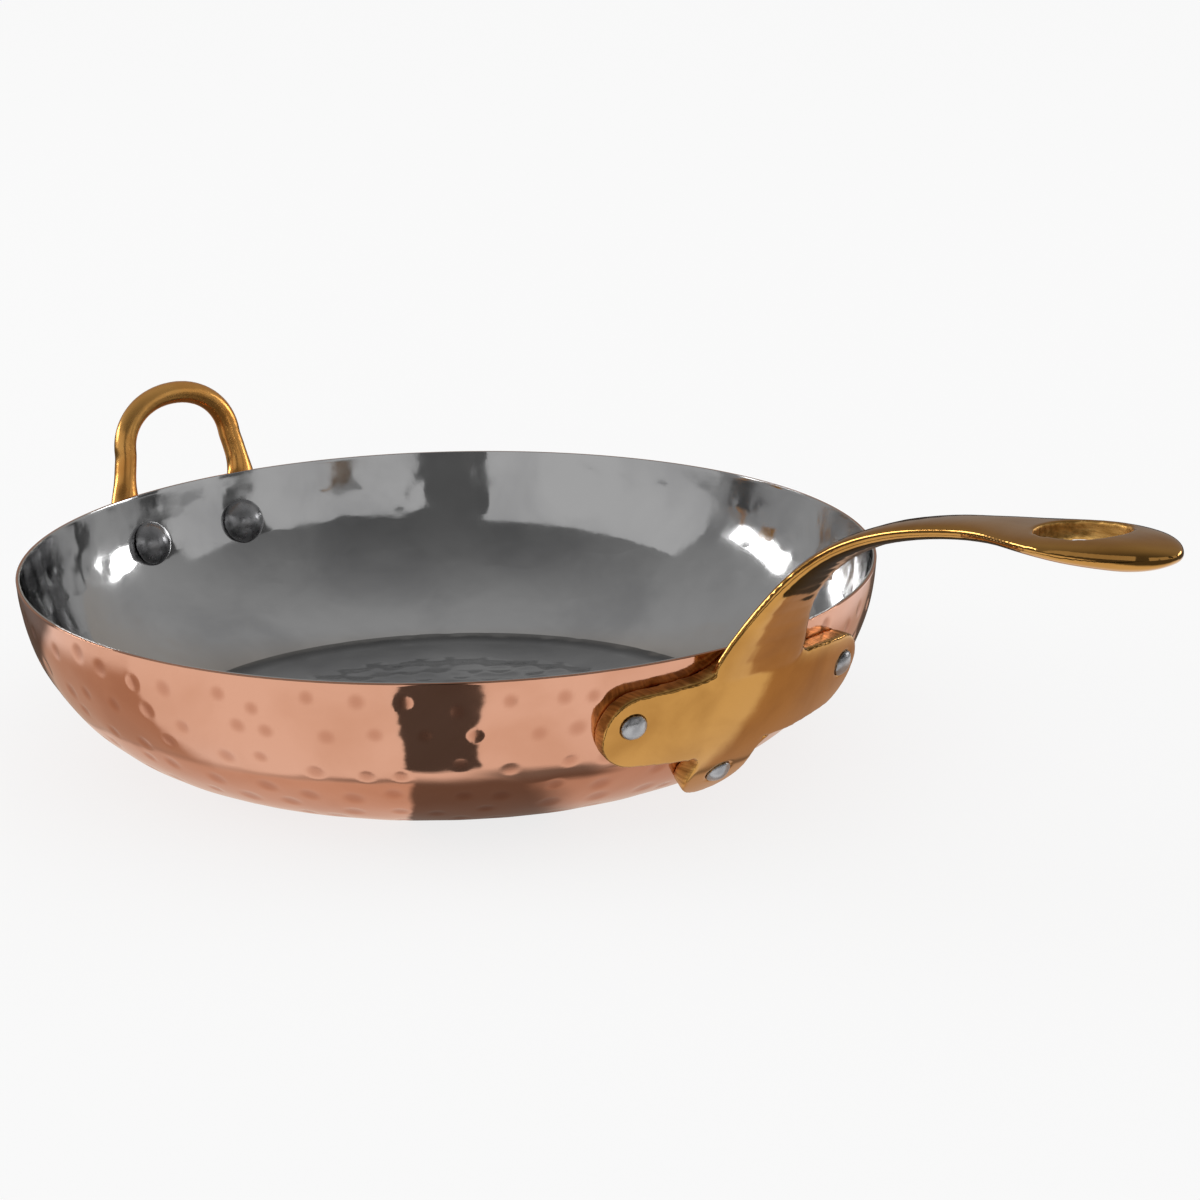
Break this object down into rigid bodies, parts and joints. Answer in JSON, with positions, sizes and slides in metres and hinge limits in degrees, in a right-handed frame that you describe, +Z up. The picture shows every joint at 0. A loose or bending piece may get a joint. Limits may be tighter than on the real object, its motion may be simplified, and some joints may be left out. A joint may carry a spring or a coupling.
{
  "type": "frying pan",
  "caption": "Hammered copper frying pan with a bright lining, a riveted cast brass long handle with a hanging slot, and a brass helper loop.",
  "frame": {"origin": "centre of the flat base's underside", "axes": "+X runs along the long handle, +Z is up out of the pan, and the helper loop is at -X"},
  "size_m": [0.4589, 0.28, 0.123],
  "materials": {
    "copper": "polished copper, lightly hammered",
    "lining": "polished, lightly hammered",
    "brass": "cast and polished",
    "rivet": "satin"
  },
  "bodies": {
    "root": {"copper_shell": "copper", "steel_lining": "lining", "long_handle": "brass", "loop_handle": "brass", "handle_rivet_left": "rivet", "handle_rivet_right": "rivet", "handle_rivet_lower": "rivet", "loop_rivet_left": "rivet", "loop_rivet_right": "rivet"}
  },
  "joints": []
}
